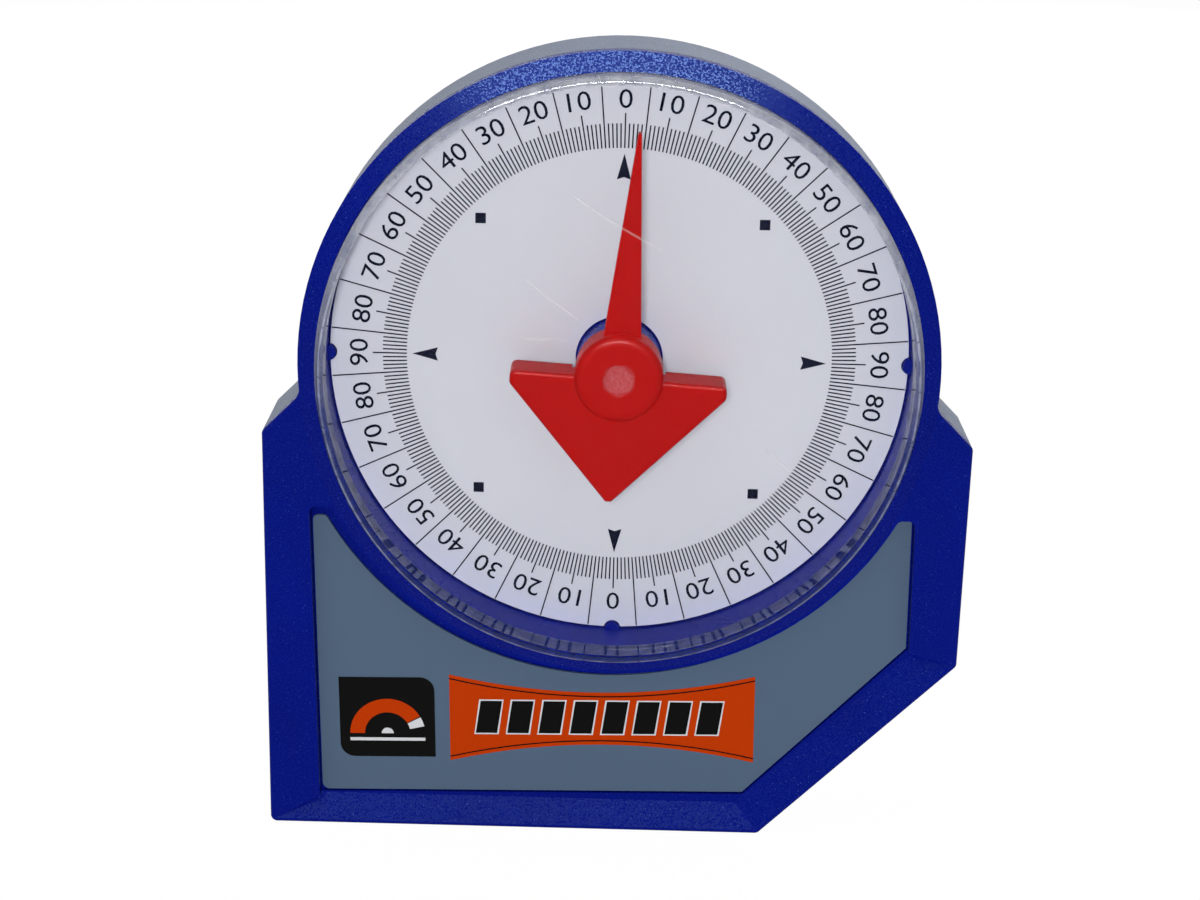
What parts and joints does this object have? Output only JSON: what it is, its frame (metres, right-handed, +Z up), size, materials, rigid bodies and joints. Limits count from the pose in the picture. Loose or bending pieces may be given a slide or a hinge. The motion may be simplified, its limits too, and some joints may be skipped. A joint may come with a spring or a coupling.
{
  "type": "inclinometer",
  "caption": "Magnetic dial angle finder: a weighted pointer swings on a pin in front of a printed dial, in a case with a grooved magnetic base and a 45 degree face.",
  "frame": {"origin": "middle of the base, at the middle of the whole depth from the lens to the back", "axes": "+Z up from the base, -Y out of the dial towards the reader, +X to the reader's right"},
  "size_m": [0.1012, 0.0208, 0.1167],
  "materials": {
    "front_case": "blue moulded plastic, fine texture",
    "rear_case": "grey moulded plastic, fine texture",
    "dial_plate": "pale printed sheet, satin",
    "lens": "clear polished plastic",
    "label_plate": "grey printed sheet, satin",
    "pointer": "red moulded plastic",
    "weight_steel": "turned steel",
    "bush_brass": "turned brass",
    "pin_steel": "ground steel",
    "screw_steel": "zinc plated steel",
    "keeper_steel": "mild steel",
    "magnet_ferrite": "sintered ferrite, matt"
  },
  "bodies": {
    "housing": {"front_case": "front_case", "rear_case": "rear_case", "dial_plate": "dial_plate", "lens": "lens", "label_plate": "label_plate", "pivot_pin": "pin_steel", "thrust_washer": "bush_brass", "case_screws": "screw_steel", "base_keeper": "keeper_steel", "bevel_keeper": "keeper_steel", "base_magnet_1": "magnet_ferrite", "base_magnet_2": "magnet_ferrite", "base_magnet_3": "magnet_ferrite", "base_magnet_4": "magnet_ferrite", "bevel_magnet_1": "magnet_ferrite", "bevel_magnet_2": "magnet_ferrite"},
    "pointer": {"pointer": "pointer", "pointer_weight": "weight_steel", "hub_bush": "bush_brass"}
  },
  "joints": [
    {"name": "pointer_swing", "type": "hinge", "parent": "housing", "child": "pointer", "pos_m": [0, -0.00595, 0.0714], "axis": [0, 1, 0], "continuous": true}
  ]
}
